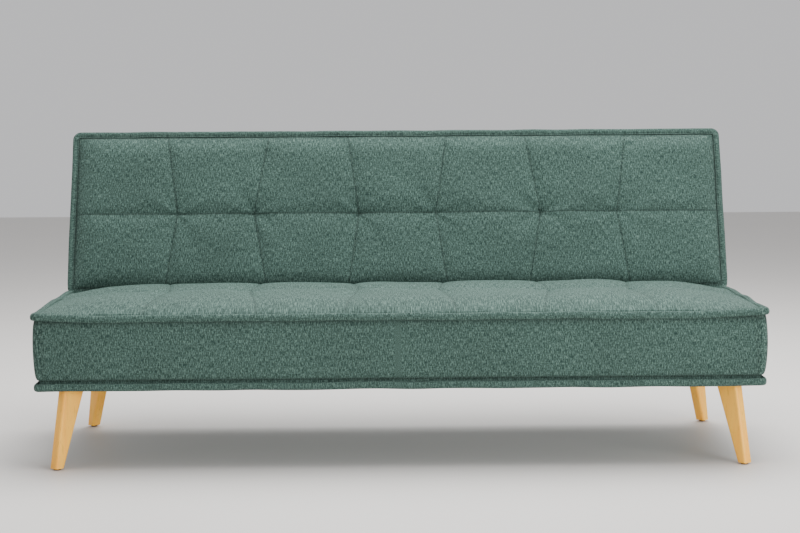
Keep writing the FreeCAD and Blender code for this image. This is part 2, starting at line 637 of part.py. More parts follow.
def make_mechanism():
    plate_face = rail_inner_x
    y, z = hinge.y, hinge.z
    pawl_y, pawl_z = polar(hinge, PAWL_BEARING, PAWL_DISTANCE)
    bolt_z = rail_top - BOLT_DROP

    bolt_y = [frame_rear - RAIL_THICK + offset for offset in SEAT_BOLT_Y]
    foot_front = bolt_y[0] - PLATE_FOOT[0]
    foot_rear = bolt_y[-1] + PLATE_FOOT[1]
    foot_top = rail_top + PLATE_FOOT_ABOVE
    foot = box(mech_x, plate_face, foot_front, foot_rear, bolt_z - PLATE_FOOT_HALF, foot_top)
    neck = extrude_x([(foot_front, foot_top), (foot_rear, foot_top),
                      (y + NECK_REACH[0], z), (pawl_y - NECK_REACH[1], pawl_z)], mech_x, plate_face)
    web = bar(pawl_y, pawl_z, y, z, WEB_WIDTH, mech_x, STEEL)
    seat_plate = foot.fuse([neck, web]).removeSplitter()

    local_arm = bar(hinge_local.y, hinge_local.z, ARM_REACH, hinge_local.z, ARM_WIDTH, arm_x, STEEL)
    disc = rod(arm_x, arm_x + STEEL, hinge_local.y, hinge_local.z, RATCHET_RADIUS)
    local_arm = local_arm.fuse(disc).removeSplitter()
    arm = stand_up(local_arm)
    hole = rod(arm_x, arm_x + STEEL, y, z, PIN_RADIUS + PIN_CLEARANCE)

    # the pawl, drawn engaged: its tooth points at the ratchet's centre
    tooth_bearing = PAWL_BEARING - PAWL_HOOK
    notch_floor = RATCHET_RADIUS - NOTCH_DEPTH
    tip_y, tip_z = polar(hinge, tooth_bearing, notch_floor + TOOTH_CLEARANCE + TOOTH_WIDTH / 2)
    knee_y, knee_z = polar(hinge, tooth_bearing, RATCHET_RADIUS + PAWL_WIDTH)
    eye = rod(arm_x, arm_x + STEEL, pawl_y, pawl_z, PAWL_EYE)
    beam = bar(pawl_y, pawl_z, knee_y, knee_z, PAWL_WIDTH, arm_x, STEEL)
    tooth = bar(knee_y, knee_z, tip_y, tip_z, TOOTH_WIDTH, arm_x, STEEL)
    pin_hole = rod(arm_x, arm_x + STEEL, pawl_y, pawl_z, PAWL_PIN_RADIUS + PIN_CLEARANCE)
    engaged = eye.fuse([beam, tooth]).removeSplitter().cut([pin_hole])
    lifted = turned(engaged, PAWL_LIFT, V(0, pawl_y, pawl_z))

    notches = []
    far_y, far_z = polar(hinge, tooth_bearing, RATCHET_RADIUS + NOTCH_WIDTH)
    deep_y, deep_z = polar(hinge, tooth_bearing, notch_floor + NOTCH_WIDTH / 2)
    notch = bar(deep_y, deep_z, far_y, far_z, NOTCH_WIDTH, arm_x, STEEL)
    for stop in (0, FORWARD_ANGLE, RECLINE_ANGLE, FLAT_ANGLE):
        notches.append(turned(notch, -stop, hinge))
    arm = arm.cut([hole] + notches)

    pin = rod(arm_x - PIN_HEAD_THICK, plate_face, y, z, PIN_RADIUS)
    head_face = arm_x - HEAD_CLEAR
    collar_face = arm_x + STEEL + HEAD_CLEAR
    head = rod(head_face - PIN_HEAD_THICK, head_face, y, z, COLLAR_RADIUS)
    collar = rod(collar_face, mech_x, y, z, COLLAR_RADIUS)
    pin = pin.fuse([head, collar]).removeSplitter()
    small_pin = rod(arm_x - PIN_HEAD_THICK, plate_face, pawl_y, pawl_z, PAWL_PIN_RADIUS)
    small_head = rod(head_face - PIN_HEAD_THICK, head_face, pawl_y, pawl_z, SMALL_HEAD_RADIUS)
    small_collar = rod(collar_face, mech_x, pawl_y, pawl_z, SMALL_HEAD_RADIUS)
    small_pin = small_pin.fuse([small_head, small_collar]).removeSplitter()

    leaf_z = pawl_z - PAWL_EYE - LEAF_DROP
    leaf = box(arm_x, mech_x, pawl_y - LEAF_REACH[0], pawl_y + LEAF_REACH[1],
               leaf_z - LEAF_THICK, leaf_z)

    seat_bolts = []
    for place in bolt_y:
        shank = rod(mech_x, frame_x - BOLT_SHORT, place, bolt_z, BOLT_RADIUS)
        cap = rod(mech_x - BOLT_HEAD_THICK, mech_x, place, bolt_z, BOLT_HEAD)
        seat_bolts.append(shank.fuse(cap))
    back_bolts = []
    for h in BACK_BOLT_H:
        shank = rod(arm_x, back_box_x - FRAME_INSET, h, hinge_local.z, BOLT_RADIUS)
        cap = rod(arm_x - BOLT_HEAD_THICK, arm_x, h, hinge_local.z, BOLT_HEAD)
        back_bolts.append(stand_up(shank.fuse(cap)))

    both_sides("hinge_seat_plate", seat_plate.cut([pin, small_pin] + seat_bolts))
    both_sides("hinge_back_arm", arm.cut(back_bolts))
    both_sides("pawl", lifted)
    both_sides("pawl_spring", leaf)
    parts["hinge_pins"] = group([pin, mirrored(pin)])
    parts["pawl_pins"] = group([small_pin, mirrored(small_pin)])
    left_bolts = [mirrored(b) for b in seat_bolts]
    parts["hinge_seat_bolts"] = group(seat_bolts + left_bolts)
    cut_all(["seat_rail_right"], seat_bolts)
    cut_all(["seat_rail_left"], left_bolts)
    left_back = [mirrored(b) for b in back_bolts]
    parts["hinge_back_bolts"] = group(back_bolts + left_back)
    cut_all(["back_rail_right"], back_bolts)
    cut_all(["back_rail_left"], left_back)


make_seat_cover()
make_seat_frame()
make_legs()
make_suspension()
make_back_cover()
make_back_frame()
make_mechanism()

os.makedirs("parts", exist_ok=True)
for name, shape in parts.items():
    shape.translate(V(0, -sofa_depth / 2, 0))
    shape.exportStep("parts/%s.step" % name)

print("parts", len(parts), "depth %.2f" % sofa_depth)
print("hinge y %.3f z %.3f" % (hinge.y - sofa_depth / 2, hinge.z))
pawl_point = polar(hinge, PAWL_BEARING, PAWL_DISTANCE)
print("pawl y %.3f z %.3f" % (pawl_point[0] - sofa_depth / 2, pawl_point[1]))
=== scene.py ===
import json
import math

import bmesh
import bpy
import numpy as np
from mathutils import Matrix, Vector


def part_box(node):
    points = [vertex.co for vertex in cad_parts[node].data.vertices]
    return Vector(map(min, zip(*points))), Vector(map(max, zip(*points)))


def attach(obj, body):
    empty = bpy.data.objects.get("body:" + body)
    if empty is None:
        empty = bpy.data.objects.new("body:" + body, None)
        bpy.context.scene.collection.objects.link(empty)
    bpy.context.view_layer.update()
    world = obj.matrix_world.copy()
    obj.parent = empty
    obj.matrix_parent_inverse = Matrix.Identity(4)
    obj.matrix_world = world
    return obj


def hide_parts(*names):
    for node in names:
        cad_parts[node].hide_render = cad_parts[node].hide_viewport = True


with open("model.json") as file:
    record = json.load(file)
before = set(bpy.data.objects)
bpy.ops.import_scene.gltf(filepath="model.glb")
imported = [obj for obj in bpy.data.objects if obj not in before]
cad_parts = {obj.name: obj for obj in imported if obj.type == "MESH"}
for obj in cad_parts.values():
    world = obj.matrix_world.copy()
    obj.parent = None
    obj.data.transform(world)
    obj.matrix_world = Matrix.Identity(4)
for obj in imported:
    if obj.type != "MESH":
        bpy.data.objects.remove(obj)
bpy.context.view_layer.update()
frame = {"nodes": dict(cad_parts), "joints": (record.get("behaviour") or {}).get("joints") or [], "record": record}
nodes = frame["nodes"]

# where the frame puts the sofa's parts, in metres
seatLow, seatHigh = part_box("seat_top_flange")
flangeLow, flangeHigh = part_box("back_front_flange")
weltLow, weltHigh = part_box("seat_bottom_welt")
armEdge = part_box("hinge_back_arm_right")[1].x
hinge = next(j for j in frame["joints"] if j["name"] == "backrest_hinge")
standing = math.radians(-hinge["range_deg"][0])     # angle between seat and upright backrest
sinStand, cosStand = math.sin(standing), math.cos(standing)

flangeProud = 0.014                                 # the flanges stand this far outside the boxing
flangeHalfThick = 0.003

seatFrontY = seatLow.y
seatDepth = seatHigh.y - seatLow.y
seatPlane = seatHigh.z - flangeHalfThick            # middle of the seat's flange
boxHalf = seatHigh.x - flangeProud
backFoot = Vector((0, flangeLow.y + flangeHalfThick * sinStand, flangeLow.z + flangeHalfThick * cosStand))
backLength = (flangeHigh.z - flangeLow.z - 2 * flangeHalfThick * cosStand) / sinStand
backHalf = flangeHigh.x
backBoxHalf = backHalf - flangeProud
backDepth = 0.118
backFlare = 0.0100                                  # the cover spreads this much at the backrest's foot

slotHalf = 0.016                                    # slots at the seat's rear for the backrest's arms
slotX = (armEdge - slotHalf, armEdge + slotHalf)
slotY = seatDepth - 0.0915
slotLow = 0.288                                     # height of the slots' lower end


def atBack(x, h, n):
    # a point given along the lying backrest (x, up its height, out of its face), stood up at rest
    return (x, backFoot.y + h * cosStand - n * sinStand, backFoot.z + h * sinStand + n * cosStand)


def toBack(points):
    p = np.asarray(points, float)
    wide = 1 + backFlare * (1 - p[:, 1] / backLength)
    return np.stack(atBack(p[:, 0] * wide, p[:, 1], p[:, 2]), 1)


def ripple(a, b, seed, size, count=9, stretch=(1, 1)):
    # a smooth random wave over two coordinates, between about -1 and 1
    rng = np.random.RandomState(seed)
    total = np.zeros(np.broadcast(a, b).shape)
    for _ in range(count):
        angle, phase = rng.uniform(0, 2 * math.pi, 2)
        step = 2 * math.pi / (size * rng.uniform(0.7, 1.5))
        across = math.cos(angle) * a * stretch[0] + math.sin(angle) * b * stretch[1]
        total = total + np.sin(step * across + phase)
    return total / math.sqrt(count) / 1.2


def markSeamShade(piece, values):
    # stores how dark each point is painted, as painted shade in and beside the sewn seams and under the flanges
    layer = piece.data.attributes.new("seam", "FLOAT", "POINT")
    layer.data.foreach_set("value", np.asarray(values, np.float32).ravel())


def meshPiece(name, points, faces, weave=None, material=None, smooth=True):
    mesh = bpy.data.meshes.new(name)
    mesh.from_pydata([tuple(p) for p in points], [], faces)
    if weave is not None:
        layer = mesh.uv_layers.new(name="weave")
        index = np.zeros(len(mesh.loops), int)
        mesh.loops.foreach_get("vertex_index", index)
        layer.data.foreach_set("uv", np.asarray(weave, np.float32)[index].ravel())
    mesh.polygons.foreach_set("use_smooth", [smooth] * len(mesh.polygons))
    mesh.update()
    piece = bpy.data.objects.new(name, mesh)
    bpy.context.scene.collection.objects.link(piece)
    if material:
        mesh.materials.append(material)
    return piece


def bakeModifiers(piece):
    # the modifiers' result becomes the piece's own plain mesh
    graph = bpy.context.evaluated_depsgraph_get()
    mesh = bpy.data.meshes.new_from_object(piece.evaluated_get(graph), preserve_all_data_layers=True,
                                           depsgraph=graph)
    old = piece.data
    piece.modifiers.clear()
    piece.data = mesh
    bpy.data.meshes.remove(old)
    mesh.name = piece.name


def subdivide(piece):
    modifier = piece.modifiers.new("subdivide", "SUBSURF")
    modifier.levels = modifier.render_levels = 1
    modifier.boundary_smooth = "PRESERVE_CORNERS"
    bakeModifiers(piece)


def settleFaces(shape, mesh):
    # splits large faces into triangles, turns every face outward and writes the shape to the mesh
    bmesh.ops.triangulate(shape, faces=[f for f in shape.faces if len(f.verts) > 4])
    bmesh.ops.recalc_face_normals(shape, faces=shape.faces)
    shape.to_mesh(mesh)
    shape.free()


def faceOutward(piece):
    shape = bmesh.new()
    shape.from_mesh(piece.data)
    settleFaces(shape, piece.data)


def carve(piece, low, high):
    # cuts a box-shaped slot out of a piece
    (x0, y0, z0), (x1, y1, z1) = low, high
    corners = [(x, y, z) for x in (x0, x1) for y in (y0, y1) for z in (z0, z1)]
    faces = [(0, 1, 3, 2), (4, 6, 7, 5), (0, 4, 5, 1), (2, 3, 7, 6), (0, 2, 6, 4), (1, 5, 7, 3)]
    cutter = meshPiece("cutter", corners, faces, smooth=False)
    modifier = piece.modifiers.new("slot", "BOOLEAN")
    modifier.operation = "DIFFERENCE"
    modifier.solver = "EXACT"
    modifier.object = cutter
    bakeModifiers(piece)
    bpy.data.objects.remove(cutter)


def finishPiece(piece, body, replaces=()):
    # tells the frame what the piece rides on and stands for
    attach(piece, body)
    if replaces:
        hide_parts(*replaces)


clothPlan = {
    "quality": 6,
    "mass": 0.25,
    "tension_stiffness": 12,
    "compression_stiffness": 12,
    "shear_stiffness": 6,
    "bending_stiffness": 0.6,
}
clothFrames = 20


def inflate(piece, pinned, pressure, cap, plan=clothPlan):
    # cloth under inside pressure, held at the pinned points; no point moves further than cap
    group = piece.vertex_groups.new(name="held")
    group.add([index for index, fixed in enumerate(pinned) if fixed], 1.0, "REPLACE")
    start = np.array([v.co for v in piece.data.vertices])
    cloth = piece.modifiers.new("cloth", "CLOTH")
    settings = cloth.settings
    for name, value in plan.items():
        setattr(settings, name, value)
    settings.use_pressure = True
    settings.uniform_pressure_force = pressure
    settings.vertex_group_mass = "held"
    settings.effector_weights.gravity = 0
    scene = bpy.context.scene
    cloth.point_cache.frame_start, cloth.point_cache.frame_end = 1, clothFrames
    for number in range(1, clothFrames + 1):
        scene.frame_set(number)
    graph = bpy.context.evaluated_depsgraph_get()
    shape = piece.evaluated_get(graph).to_mesh()
    moved = np.array([v.co for v in shape.vertices]) - start
    piece.evaluated_get(graph).to_mesh_clear()
    far = np.linalg.norm(moved, axis=1)
    moved *= np.minimum(1, cap / np.maximum(far, 1e-9))[:, None]
    piece.modifiers.clear()
    piece.vertex_groups.clear()
    piece.data.vertices.foreach_set("co", (start + moved).ravel())
    piece.data.update()
    scene.frame_set(1)
    print(piece.name, "inflated by up to", round(float(far.max()) * 1000, 1), "mm")


class Sock:
    # a shader socket that can be used in arithmetic
    def __init__(self, maker, socket):
        self.maker, self.socket = maker, socket

    def math(self, operation, *values):
        return self.maker.node("ShaderNodeMath", {"operation": operation}, dict(enumerate(values)))

    def __add__(self, other):
        return self.math("ADD", self, other)

    def __radd__(self, other):
        return self.math("ADD", other, self)

    def __rsub__(self, other):
        return self.math("SUBTRACT", other, self)

    def __mul__(self, other):
        return self.math("MULTIPLY", self, other)

    def sine(self):
        return self.math("SINE", self)


class Maker:
    # builds one material; every node comes from node()
    def __init__(self, name):
        self.material = bpy.data.materials.new(name)
        self.material.use_nodes = True
        self.tree = self.material.node_tree
        self.tree.nodes.clear()

    def node(self, kind, settings=None, inputs=None, output=0):
        made = self.tree.nodes.new(kind)
        for name, value in (settings or {}).items():
            if name == "stops":
                ramp = made.color_ramp
                while len(ramp.elements) < len(value):
                    ramp.elements.new(1)
                for element, (place, color) in zip(ramp.elements, value):
                    element.position = place
                    element.color = (*color, 1)
            else:
                setattr(made, name, value)
        for name, value in (inputs or {}).items():
            socket = made.inputs[name]
            if isinstance(value, Sock):
                self.tree.links.new(value.socket, socket)
            elif hasattr(value, "__len__") and socket.type == "RGBA" and len(value) == 3:
                socket.default_value = (*value, 1)
            else:
                socket.default_value = value
        return Sock(self, made.outputs[output]) if len(made.outputs) else None

    def mix(self, share, first, second):
        return self.node("ShaderNodeMix", {"data_type": "RGBA"}, {0: share, 6: first, 7: second}, 2)

    def noise(self, where, scale, detail=2.0, rough=0.5, distort=0.0):
        return self.node("ShaderNodeTexNoise", {"noise_dimensions": "3D"},
                         {"Vector": where, "Scale": scale, "Detail": detail, "Roughness": rough,
                          "Distortion": distort})

    def stretch(self, where, factors):
        return self.node("ShaderNodeVectorMath", {"operation": "MULTIPLY"}, {0: where, 1: factors})

    def smooth(self, value, low, high):
        return self.node("ShaderNodeMapRange", {"interpolation_type": "SMOOTHSTEP"},
                         {"Value": value, "From Min": low, "From Max": high})

    def finish(self, fixed, color, roughness, height=None, strength=0.5, distance=0.001):
        inputs = dict(fixed)
        inputs["Base Color"] = color
        inputs["Roughness"] = roughness
        if height is not None:
            bump = {"Strength": strength, "Distance": distance, "Height": height}
            inputs["Normal"] = self.node("ShaderNodeBump", {}, bump)
        shader = self.node("ShaderNodeBsdfPrincipled", {}, inputs)
        self.node("ShaderNodeOutputMaterial", {}, {"Surface": shader})
        return self.material


weaveLook = {
    "deep": (0.0095, 0.030, 0.024),         # ground yarn
    "middle": (0.034, 0.068, 0.056),
    "pale": (0.106, 0.176, 0.148),          # pale slubs of the heathered yarn
    "stops": (0.43, 0.545, 0.65),           # where the tone turns deep, middle and pale
    "yarn": 1.9,                            # millimetres between yarns
    "waver": 3,                             # how far slubs push the yarns out of line
    "patch": 0.10,                          # strength of the soft darker patches
    "patchScale": 5.5,
    "seam": 0.44,                           # darkness of the painted shade at the sewn seams and under the flanges
    "sheen": 0.06,
    "rough": 0.92,
    "bump": 0.55,
    "bumpDepth": 0.0012,
}


def weaveMaterial(name, slubLength, look=weaveLook):
    # heathered cloth, drawn in millimetres on the piece's weave map
    m = Maker(name)
    flat = m.node("ShaderNodeUVMap", {"uv_map": "weave"})
    mm = m.stretch(flat, (1000, 1000, 1000))
    slub = m.noise(m.stretch(mm, (0.52, 1 / slubLength, 1)), 1.0, 2.0, 0.6)
    weft = m.noise(m.stretch(mm, (0.09, 0.4, 1)), 1.0, 2.0, 0.5)
    fleck = m.noise(m.stretch(mm, (0.7, 2.5 / slubLength, 1)), 1.0, 1.0, 0.6)
    across = m.node("ShaderNodeSeparateXYZ", {}, {0: mm}, 0)
    along = m.node("ShaderNodeSeparateXYZ", {}, {0: mm}, 1)
    turn = 2 * math.pi / look["yarn"]
    warpWave = (across * turn + slub * look["waver"]).sine()
    weftWave = (along * turn + weft * look["waver"]).sine()
    cross = warpWave * weftWave
    tone = slub * 0.5 + weft * 0.18 + fleck * 0.42 + cross * 0.05
    yarns = (look["deep"], look["middle"], look["pale"])
    color = m.node("ShaderNodeValToRGB", {"stops": list(zip(look["stops"], yarns))}, {0: tone})
    patch = m.noise(flat, look["patchScale"])
    shade = m.smooth(patch, 0.3, 0.7) * look["patch"] + (1 - look["patch"] / 2)
    # painted shade: the seam attribute darkens the colour in the seams and under the flanges
    seam = m.node("ShaderNodeAttribute", {"attribute_name": "seam"}, {}, 2)
    shade = shade * (1 - seam * look["seam"])
    color = m.node("ShaderNodeVectorMath", {"operation": "SCALE"}, {0: color, "Scale": shade})
    height = cross * 0.35 + slub * 0.9 + fleck * 0.8
    cloth = {"Sheen Weight": look["sheen"], "Sheen Roughness": 0.5, "Sheen Tint": (0.60, 0.78, 0.70),
             "Specular IOR Level": 0.25}
    return m.finish(cloth, color, look["rough"] - fleck * 0.08, height, look["bump"], look["bumpDepth"])


def woodMaterial(name, pale, dark, scale, rough, coat):
    # the grain runs along z
    m = Maker(name)
    where = m.node("ShaderNodeTexCoord", {}, {}, 3)
    long = m.stretch(where, (scale, scale, 0.09 * scale))
    figure = m.noise(long, 55.0, 4.0, 0.55, 0.6)
    pores = m.noise(m.stretch(where, (1, 1, 0.05)), 900.0, 2.0, 0.6)
    rays = m.noise(m.stretch(where, (1, 1, 0.12)), 260.0, 1.0, 0.5)
    rayMask = m.smooth(rays, 0.62, 0.7)
    tone = m.smooth(figure, 0.3, 0.75)
    color = m.mix(tone, pale, dark)
    color = m.mix(rayMask * 0.35, color, tuple(0.6 * c for c in dark))
    color = m.mix(m.smooth(pores, 0.55, 0.75) * 0.18, color, tuple(0.5 * c for c in dark))
    lacquer = {"Coat Roughness": 0.25, "Coat Weight": coat}
    return m.finish(lacquer, color, rough + rayMask * 0.1, pores + figure * 0.5, 0.12, 0.0005)


def steelMaterial(name, color, rough=0.38):
    m = Maker(name)
    where = m.node("ShaderNodeTexCoord", {}, {}, 3)
    brushed = m.noise(m.stretch(where, (1, 0.06, 1)), 1400.0, 2.0, 0.6)
    stain = m.noise(where, 40.0, 3.0, 0.6)
    tint = m.mix(m.smooth(stain, 0.4, 0.8) * 0.4, color, tuple(0.75 * c for c in color))
    return m.finish({"Metallic": 1.0}, tint, rough + stain * 0.15, brushed, 0.1, 0.0002)


def softMaterial(name, color, grain, deep=0.6, rough=0.9, strength=0.4):
    # felt, thread, lining and other plain stuffs; deep is how dark the hollows of the grain are
    m = Maker(name)
    where = m.node("ShaderNodeTexCoord", {}, {}, 3)
    cells = m.noise(where, grain, 3.0, 0.6)
    tint = m.mix(m.smooth(cells, 0.35, 0.7), tuple(deep * c for c in color), color)
    return m.finish({}, tint, rough, cells, strength, 0.0006)


greenWeave = weaveMaterial("greenWeave", 14.0)          # slub length in millimetres
topWeave = weaveMaterial("topWeave", 36.0)
seamThread = softMaterial("seamThread", (0.05, 0.10, 0.085), 1500.0)
beech = woodMaterial("beech", (1.0, 0.52, 0.050), (1.0, 0.43, 0.030), 1.0, 0.5, 0.03)
timber = woodMaterial("frameTimber", (0.62, 0.44, 0.26), (0.46, 0.29, 0.15), 0.6, 0.7, 0.0)
zincSteel = steelMaterial("zincSteel", (0.62, 0.63, 0.64))
springSteel = steelMaterial("springSteel", (0.30, 0.30, 0.31), 0.45)
felt = softMaterial("feltPad", (0.33, 0.32, 0.30), 700.0)
lining = softMaterial("blackLining", (0.028, 0.028, 0.030), 900.0, 0.5, 0.85)
webbing = softMaterial("elasticWebbing", (0.07, 0.07, 0.07), 1200.0)
glidePlastic = softMaterial("glidePlastic", (0.09, 0.07, 0.055), 300.0, 0.8, 0.45, 0.1)


def dressCadNodes():
    # the frame's own parts take the finish of their material slot
    looks = {"beech": beech, "frame_timber": timber, "zinc_steel": zincSteel, "spring_steel": springSteel,
             "felt_pad": felt, "foam": felt, "black_lining": lining, "elastic_webbing": webbing,
             "tufting_cord": seamThread, "green_weave": seamThread, "glide_plastic": glidePlastic}
    for part in frame["record"]["subparts"]:
        piece = nodes[part["node"]]
        piece.data.materials.clear()
        piece.data.materials.append(looks[part["material_slot"]])


quiltPlan = {
    "seams": ((0.105, 0.136), (0.391, 0.352), (0.599, 0.630)),   # x at the middle seam, x at the edges
    "columns": 26,        # mesh columns between two seams
    "rows": 26,           # mesh rows each side of the middle seam
}


def easedSteps(count, ends=0.8):
    # steps from 0 to 1 that are finer near both ends
    t = np.linspace(0, 1, count + 1)
    return t + ends * (0.5 * (1 - np.cos(math.pi * t)) - t)


def quiltGrid(halfX, low, middle, high, plan=quiltPlan):
    # x and y of a grid whose columns and rows lie on the seams, the distances to the nearest upright
    # seam and to the middle seam, and the places of the tufts
    near = [pair[0] for pair in plan["seams"]] + [halfX]
    far = [pair[1] for pair in plan["seams"]] + [halfX]
    inner = [-place for place in near[::-1]] + near
    outer = [-place for place in far[::-1]] + far
    steps = easedSteps(plan["columns"])
    rows = np.concatenate([low + (middle - low) * easedSteps(plan["rows"]),
                           middle + (high - middle) * easedSteps(plan["rows"])[1:]])
    half = max(middle - low, high - middle)
    away = np.abs(rows - middle) / half                    # 0 on the middle seam
    columns = []
    for k in range(len(inner) - 1):
        for t in steps[(0 if k == 0 else 1):]:
            a = inner[k] + (inner[k + 1] - inner[k]) * t
            b = outer[k] + (outer[k + 1] - outer[k]) * t
            columns.append(a + (b - a) * away)
    x = np.array(columns).T
    y = np.repeat(rows[:, None], x.shape[1], 1)
    seamX = [np.array([i + (o - i) * a for a in away])[:, None] for i, o in zip(inner[1:-1], outer[1:-1])]
    across = np.min([np.abs(x - s) for s in seamX], axis=0)
    tufts = [(i, middle) for i in inner[1:-1]]
    return x, y, across, np.abs(y - middle), tufts


def gridFaces(rows, columns):
    return [(r * columns + c, r * columns + c + 1, (r + 1) * columns + c + 1, (r + 1) * columns + c)
            for r in range(rows - 1) for c in range(columns - 1)]


def gridRim(rows, columns):
    # the points round the edge of a grid, in order
    return (list(range(columns)) + [r * columns + columns - 1 for r in range(1, rows)]
            + [(rows - 1) * columns + c for c in range(columns - 2, -1, -1)]
            + [r * columns for r in range(rows - 2, 0, -1)])


def closeBehind(piece, behind):
    # turns an open sheet into a closed pad: a wall from its edge to where behind() puts it, and a back
    shape = bmesh.new()
    shape.from_mesh(piece.data)
    edge = [e for e in shape.edges if e.is_boundary]
    made = bmesh.ops.extrude_edge_only(shape, edges=edge)["geom"]
    for vert in (v for v in made if isinstance(v, bmesh.types.BMVert)):
        vert.co = behind(vert.co)
    bmesh.ops.holes_fill(shape, edges=[e for e in shape.edges if e.is_boundary])
    settleFaces(shape, piece.data)


def radiating(x, y, tufts, reach, seed, folds=5):
    # small folds that run out from each tuft, at least as many as folds says
    rng = np.random.RandomState(seed)
    total = np.zeros(x.shape)
    for tx, ty in tufts:
        r = np.hypot(x - tx, y - ty)
        angle = np.arctan2(y - ty, x - tx)
        phase = rng.uniform(0, 6.28)
        count = rng.randint(folds, folds + 3)
        total += np.cos(count * angle + phase) * (r / reach) * np.exp(1 - r / reach)
    return total


def tuftDips(x, y, tufts, depths, reach):
    # how far the tufts pull the cloth in
    total = np.zeros(x.shape)
    for (tx, ty), depth in zip(tufts, depths):
        r = np.hypot(x - tx, (y - ty) * 1.15)
        total += depth * np.exp(-r / reach)
    return total


def heldPoints(x, y, seam, tufts, seamHold=0.0006, tuftHold=0.009):
    # the grid points that seams, tufts and the sewn edge keep in place
    near = np.min([np.hypot(x - a, y - b) for a, b in tufts], axis=0)
    held = ((seam < seamHold) | (near < tuftHold)).ravel()
    held[gridRim(*x.shape)] = True
    return held


backPlan = {
    "inset": 0.0035,          # edge of the pad inside the boxing
    "crown": 0.0185,          # fullness over the flange
    "sideRoll": 0.013,        # how soon it rises from its edge
    "lowRoll": 0.75,          # the same at the foot, as a share
    "groove": 0.0020,         # wide hollow along a seam
    "grooveReach": 0.011,
    "crease": 0.0018,         # sharp line in the seam itself
    "creaseReach": 0.0014,
    "middleSeam": 0.2215,     # height of the middle seam above the lower flange
    "tufts": (0.008, 0.017, 0.018, 0.008, 0.018, 0.006),
    "tuftReach": 0.022,
    "folds": 0.0022,          # small folds round the tufts
    "foldReach": 0.035,
    "wave": 0.0018,           # slack of the cloth
    "waveSize": 0.22,
    "rimShadeReach": 0.004,        # painted shade along the seam round the pad
    "thick": 0.005,
    "pressure": 4.0,
    "cap": 0.0025,            # the cloth run moves no point further
}


def makeBackPad(plan=backPlan):
    inset = flangeProud + plan["inset"]
    low, high = inset, backLength - inset
    half = backHalf - inset
    x, h, across, upDown, tufts = quiltGrid(half, low, plan["middleSeam"], high)
    side = half - np.abs(x)
    roll = plan["sideRoll"]
    edge = (1 - np.exp(-side / roll)) * (1 - np.exp(-(high - h) / roll))
    edge = edge * (1 - np.exp(-(h - low) / (roll * plan["lowRoll"])))
    seam = np.minimum(across, upDown)
    n = 0.001 + plan["crown"] * edge
    n -= plan["groove"] * np.exp(-seam / plan["grooveReach"]) * edge
    n -= plan["crease"] * np.exp(-seam / plan["creaseReach"])
    n -= tuftDips(x, h, tufts, plan["tufts"], plan["tuftReach"]) * edge
    n += plan["folds"] * radiating(x, h, tufts, plan["foldReach"], seed=3) * edge
    n += plan["wave"] * ripple(x, h, 11, plan["waveSize"]) * edge
    front = np.stack([x.ravel(), h.ravel(), n.ravel()], 1)
    pad = meshPiece("backCushion", toBack(front), gridFaces(*x.shape), front[:, :2], greenWeave)
    rim = np.minimum(side, np.minimum(high - h, h - low))
    # painted shade in the quilting seams and round the pad's edge
    markSeamShade(pad, np.maximum(np.exp(-seam / plan["creaseReach"]), np.exp(-rim / plan["rimShadeReach"])))
    inflate(pad, heldPoints(x, h, seam, tufts), plan["pressure"], plan["cap"])
    subdivide(pad)
    inward = Vector((0, sinStand, -cosStand)) * plan["thick"]
    closeBehind(pad, lambda place: place + inward)
    finishPiece(pad, "backrest", ("back_cover_front", "back_foam"))


seatPlan = {
    "spread": 0.004,           # edge of the pad over the boxing, under the flange
    "lift": 0.003,
    "crown": 0.0265,
    "sideStart": 0.014,        # flat margin at each side
    "sideRoll": 0.100,
    "sidePower": 1.25,
    "frontRoll": 0.030,
    "groove": 0.0034,
    "grooveReach": 0.020,
    "crease": 0.0018,
    "creaseReach": 0.0020,
    "middleSeam": 0.335,       # from the seat's front
    "tufts": (0.005, 0.009, 0.007, 0.006, 0.009, 0.005),
    "tuftReach": 0.032,
    "folds": 0.0016,
    "foldReach": 0.04,
    "wave": 0.0022,
    "waveSize": 0.26,
    # how dark the painted shade in the seat's quilting seams is
    "seamShadeStrength": 0.7,
    "skirt": 0.006,            # the pad's wall goes this far below the flange's line
    "pressure": 4.0,
    "cap": 0.0035,
    "restsFrom": 0.505,        # behind this the backrest holds the cloth down
    "rearLine": ((0.492, 0.0), (0.509, -0.003), (0.520, -0.011), (0.529, -0.025), (0.537, -0.042)),
    "rearLift": 0.002,
}
edgeLine = ((0, 0), (0.522, 0), (0.535, -0.0225), (seatDepth, -0.035))


def alongLine(y, line):
    return np.interp(y, [place for place, _ in line], [value for _, value in line])


def seatEdgeLine(y):
    # height of the seat's flange line at y from the front: level, then down under the backrest
    return seatPlane + alongLine(y, edgeLine)


def openSlots(sheet):
    # takes the faces over the two slots out of the open seat sheet
    shape = bmesh.new()
    shape.from_mesh(sheet.data)
    middles = [(face, face.calc_center_median()) for face in shape.faces]
    slots = [face for face, c in middles if slotX[0] < abs(c.x) < slotX[1] and c.y > seatFrontY + slotY]
    bmesh.ops.delete(shape, geom=slots, context="FACES")
    shape.to_mesh(sheet.data)
    shape.free()


